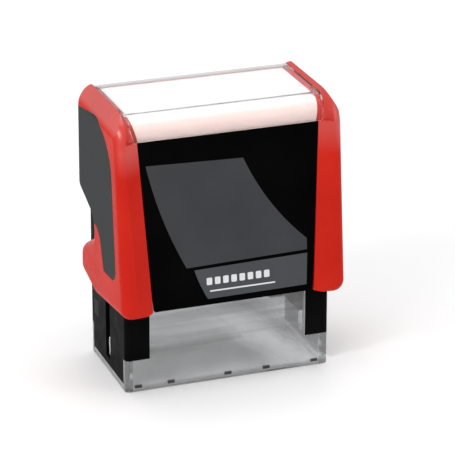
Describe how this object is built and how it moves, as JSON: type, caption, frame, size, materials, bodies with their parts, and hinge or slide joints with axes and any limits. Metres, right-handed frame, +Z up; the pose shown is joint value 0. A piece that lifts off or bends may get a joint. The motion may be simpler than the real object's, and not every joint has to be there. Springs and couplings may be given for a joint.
{
  "type": "self-inking stamp",
  "caption": "Hand stamp with a spring-loaded cap that turns an inked rubber plate over and presses it through an open transparent base.",
  "frame": {"origin": "middle of the whole stamp's footprint, on the plane it stands on", "axes": "+X to the stamp's right seen from its front, +Y to its back, +Z up along the press"},
  "size_m": [0.0626, 0.0408, 0.078],
  "materials": {
    "clear_base": "clear moulded plastic",
    "position_marks": "matt",
    "inner_frame": "satin",
    "lock_button_left": "satin",
    "lock_button_right": "satin",
    "main_spring": "drawn wire",
    "cartridge_tray": "satin",
    "ink_pad": "inked felt",
    "die_plate": "satin",
    "die_axle": "ground",
    "cam_pins": "ground",
    "cushion_foam": "closed-cell foam",
    "text_plate": "matt, ink-stained",
    "cap_housing": "glossy",
    "axle_yoke": "satin",
    "front_panel": "glossy",
    "front_inlay_upper": "fine matt",
    "front_inlay_lower": "fine matt",
    "rear_panel": "glossy",
    "grip_insert_left": "soft matt",
    "grip_insert_right": "soft matt",
    "index_card": "paper card",
    "index_window": "clear moulded plastic"
  },
  "bodies": {
    "base": {"clear_base": "clear_base", "position_marks": "position_marks", "inner_frame": "inner_frame", "main_spring": "main_spring"},
    "cap": {"cap_housing": "cap_housing", "axle_yoke": "axle_yoke", "front_panel": "front_panel", "front_inlay_upper": "front_inlay_upper", "front_inlay_lower": "front_inlay_lower", "rear_panel": "rear_panel", "grip_insert_left": "grip_insert_left", "grip_insert_right": "grip_insert_right", "index_card": "index_card"},
    "die": {"die_plate": "die_plate", "die_axle": "die_axle", "cam_pins": "cam_pins", "cushion_foam": "cushion_foam", "text_plate": "text_plate"},
    "cartridge": {"cartridge_tray": "cartridge_tray", "ink_pad": "ink_pad"},
    "window": {"index_window": "index_window"},
    "button_left": {"lock_button_left": "lock_button_left"},
    "button_right": {"lock_button_right": "lock_button_right"}
  },
  "joints": [
    {"name": "cap_press", "type": "slide", "parent": "base", "child": "cap", "axis": [0, 0, -1], "range_m": [0, 0.0205], "stiffness_N_per_m": 600, "springref_m": -0.009, "deforming": ["main_spring"]},
    {"name": "die_flip", "type": "hinge", "parent": "cap", "child": "die", "pos_m": [0, 0.00186, 0.02625], "axis": [1, 0, 0], "range_deg": [0, 180]},
    {"name": "cartridge_slide", "type": "slide", "parent": "base", "child": "cartridge", "axis": [0, 1, 0], "range_m": [0, 0.032]},
    {"name": "window_lift", "type": "slide", "parent": "cap", "child": "window", "axis": [0, 0, 1], "range_m": [0, 0.012]},
    {"name": "lock_button_left_press", "type": "slide", "parent": "base", "child": "button_left", "axis": [1, 0, 0], "range_m": [0, 0.001], "stiffness_N_per_m": 400, "springref_m": -0.0005},
    {"name": "lock_button_right_press", "type": "slide", "parent": "base", "child": "button_right", "axis": [-1, 0, 0], "range_m": [0, 0.001], "stiffness_N_per_m": 400, "springref_m": -0.0005}
  ],
  "couplings": [
    {"joint": "die_flip", "follows": "cap_press", "rad_per_m": 153.25}
  ]
}
